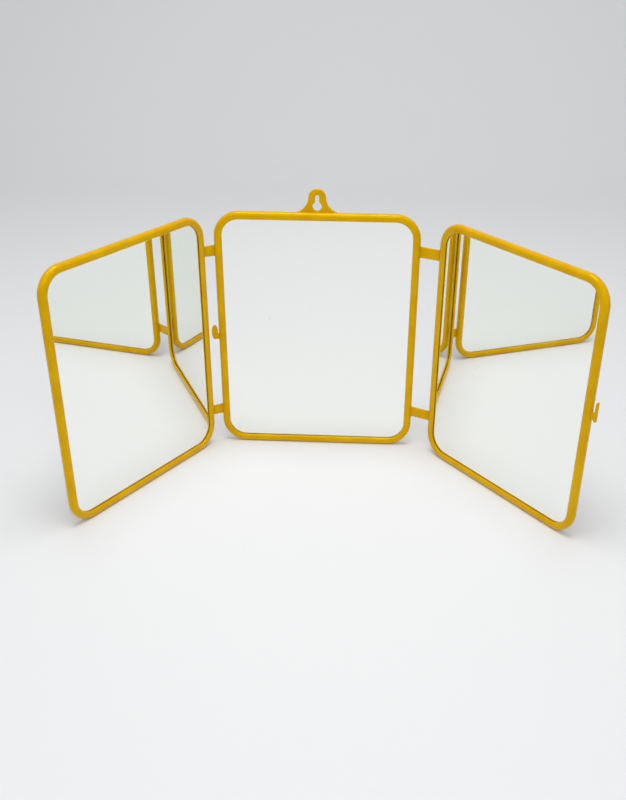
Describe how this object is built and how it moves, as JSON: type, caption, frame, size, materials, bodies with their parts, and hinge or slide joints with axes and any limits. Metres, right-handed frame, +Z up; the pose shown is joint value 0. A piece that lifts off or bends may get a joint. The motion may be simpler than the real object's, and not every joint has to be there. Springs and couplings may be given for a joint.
{
  "type": "three-panel folding mirror",
  "caption": "Folding table or wall mirror: framed mirror panels joined by flexible straps, with a keyhole hanging tab and small closing hooks.",
  "frame": {"origin": "on the standing surface, under the middle of the centre panel's bottom bar, at the middle of its depth", "axes": "+Z up, +X along the centre panel's width, -Y the way the centre mirror faces"},
  "size_m": [0.3757, 0.1432, 0.2186],
  "materials": {
    "yellow_plastic": "satin moulded",
    "silvered_glass": "polished",
    "grey_board": "matt"
  },
  "bodies": {
    "centre": {"centre_frame": "yellow_plastic", "centre_mirror": "silvered_glass", "centre_backing": "grey_board"},
    "left_straps": {"left_upper_strap": "yellow_plastic", "left_lower_strap": "yellow_plastic"},
    "left_wing": {"left_frame": "yellow_plastic", "left_mirror": "silvered_glass", "left_backing": "grey_board"},
    "right_straps": {"right_upper_strap": "yellow_plastic", "right_lower_strap": "yellow_plastic"},
    "right_wing": {"right_frame": "yellow_plastic", "right_mirror": "silvered_glass", "right_backing": "grey_board"}
  },
  "joints": [
    {"name": "left_strap_bend", "type": "hinge", "parent": "centre", "child": "left_straps", "pos_m": [-0.081, 0, 0.1005], "axis": [0, 0, 1], "range_deg": [-28.75, 61.25]},
    {"name": "left_wing_bend", "type": "hinge", "parent": "left_straps", "child": "left_wing", "pos_m": [-0.08775, -0.0037, 0.1005], "axis": [0, 0, 1], "range_deg": [-28.75, 61.25]},
    {"name": "right_strap_bend", "type": "hinge", "parent": "centre", "child": "right_straps", "pos_m": [0.081, 0, 0.1005], "axis": [0, 0, -1], "range_deg": [-25.5, 64.5]},
    {"name": "right_wing_bend", "type": "hinge", "parent": "right_straps", "child": "right_wing", "pos_m": [0.0949, -0.00663, 0.1005], "axis": [0, 0, -1], "range_deg": [-25.5, 64.5]}
  ],
  "couplings": [
    {"joint": "left_wing_bend", "follows": "left_strap_bend", "ratio": 1},
    {"joint": "right_wing_bend", "follows": "right_strap_bend", "ratio": 1}
  ]
}
